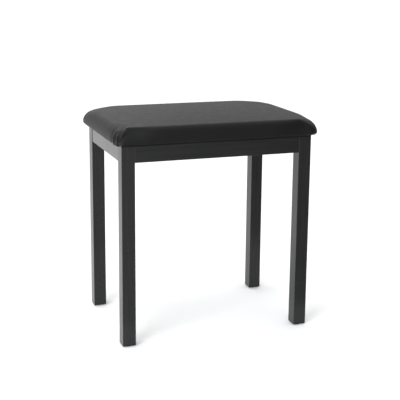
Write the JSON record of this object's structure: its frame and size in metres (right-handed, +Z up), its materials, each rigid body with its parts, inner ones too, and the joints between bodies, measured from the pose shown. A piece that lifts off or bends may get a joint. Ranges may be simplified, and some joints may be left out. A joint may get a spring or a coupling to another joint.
{
  "type": "piano bench",
  "caption": "Fixed-height rectangular piano bench with square black legs, flush aprons and a padded black vinyl seat.",
  "frame": {"origin": "on the floor, under the middle of the seat", "axes": "+Z up, +X along the seat's length to the sitter's right, -Y the front, where the sitter's knees are"},
  "size_m": [0.48, 0.33, 0.5],
  "materials": {
    "lacquered_wood": "satin black lacquer over sanded hardwood",
    "vinyl": "fine-grained black vinyl leathercloth, semi-matt",
    "foam": "open-cell polyurethane foam",
    "bare_wood": "bare plywood and sawn batten",
    "non_woven": "black spun-bonded non-woven sheet",
    "zinc_plate": "bright zinc-plated pressed steel",
    "nylon": "moulded black nylon"
  },
  "bodies": {
    "root": {"apron_front": "lacquered_wood", "apron_right": "lacquered_wood", "apron_back": "lacquered_wood", "apron_left": "lacquered_wood", "leg_front_left": "lacquered_wood", "foot_glide_front_left": "nylon", "corner_bracket_front_left": "zinc_plate", "hanger_bolt_front_left": "zinc_plate", "bolt_washer_front_left": "zinc_plate", "bolt_nut_front_left": "zinc_plate", "bracket_screw_front_left_long": "zinc_plate", "bracket_screw_front_left_short": "zinc_plate", "leg_front_right": "lacquered_wood", "foot_glide_front_right": "nylon", "corner_bracket_front_right": "zinc_plate", "hanger_bolt_front_right": "zinc_plate", "bolt_washer_front_right": "zinc_plate", "bolt_nut_front_right": "zinc_plate", "bracket_screw_front_right_long": "zinc_plate", "bracket_screw_front_right_short": "zinc_plate", "leg_back_right": "lacquered_wood", "foot_glide_back_right": "nylon", "corner_bracket_back_right": "zinc_plate", "hanger_bolt_back_right": "zinc_plate", "bolt_washer_back_right": "zinc_plate", "bolt_nut_back_right": "zinc_plate", "bracket_screw_back_right_long": "zinc_plate", "bracket_screw_back_right_short": "zinc_plate", "leg_back_left": "lacquered_wood", "foot_glide_back_left": "nylon", "corner_bracket_back_left": "zinc_plate", "hanger_bolt_back_left": "zinc_plate", "bolt_washer_back_left": "zinc_plate", "bolt_nut_back_left": "zinc_plate", "bracket_screw_back_left_long": "zinc_plate", "bracket_screw_back_left_short": "zinc_plate", "seat_batten_front": "bare_wood", "seat_screw_front_left": "zinc_plate", "seat_screw_front_right": "zinc_plate", "seat_batten_back": "bare_wood", "seat_screw_back_left": "zinc_plate", "seat_screw_back_right": "zinc_plate", "seat_board": "bare_wood", "seat_foam": "foam", "seat_cover": "vinyl", "dust_cover": "non_woven"}
  },
  "joints": []
}
